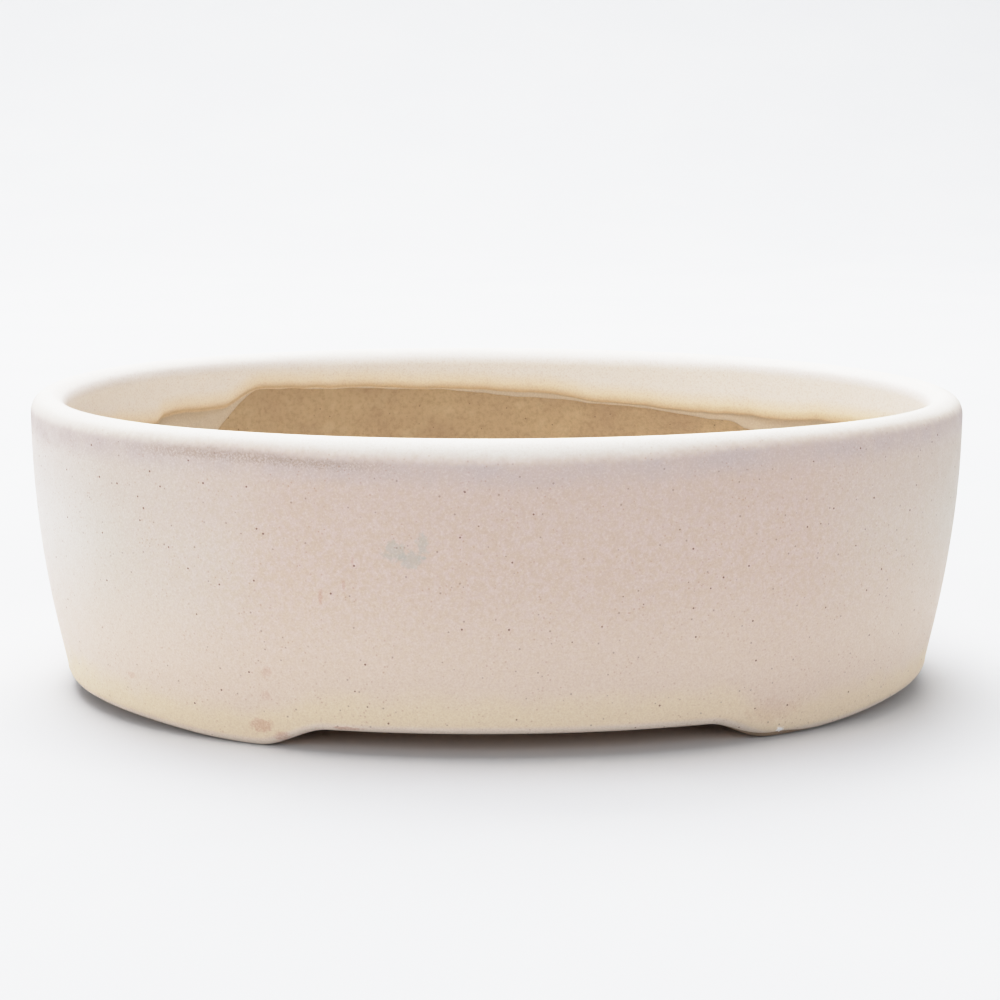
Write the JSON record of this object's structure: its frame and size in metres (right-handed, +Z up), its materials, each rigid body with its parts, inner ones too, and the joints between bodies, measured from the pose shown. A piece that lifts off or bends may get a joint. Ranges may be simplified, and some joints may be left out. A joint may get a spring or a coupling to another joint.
{
  "type": "bonsai pot",
  "caption": "Low oval glazed bonsai pot on arched feet, with drain holes under mesh screens and wire clips, and tie wire holes.",
  "frame": {"origin": "centre of the foot plane, on which the pot stands", "axes": "+Z up, +X along the long axis of the oval, -Y is the side seen in front"},
  "size_m": [0.15, 0.1242, 0.0478],
  "materials": {
    "clay": "bare fired stoneware, matte",
    "glaze": "matte glaze with fine iron speckle",
    "screen_plastic": "moulded black mesh",
    "clip_wire": "drawn wire, satin"
  },
  "bodies": {
    "root": {"clay_body": "clay", "glaze_coat": "glaze", "drain_screen_left": "screen_plastic", "drain_screen_right": "screen_plastic", "screen_clip_left": "clip_wire", "screen_clip_right": "clip_wire"}
  },
  "joints": []
}
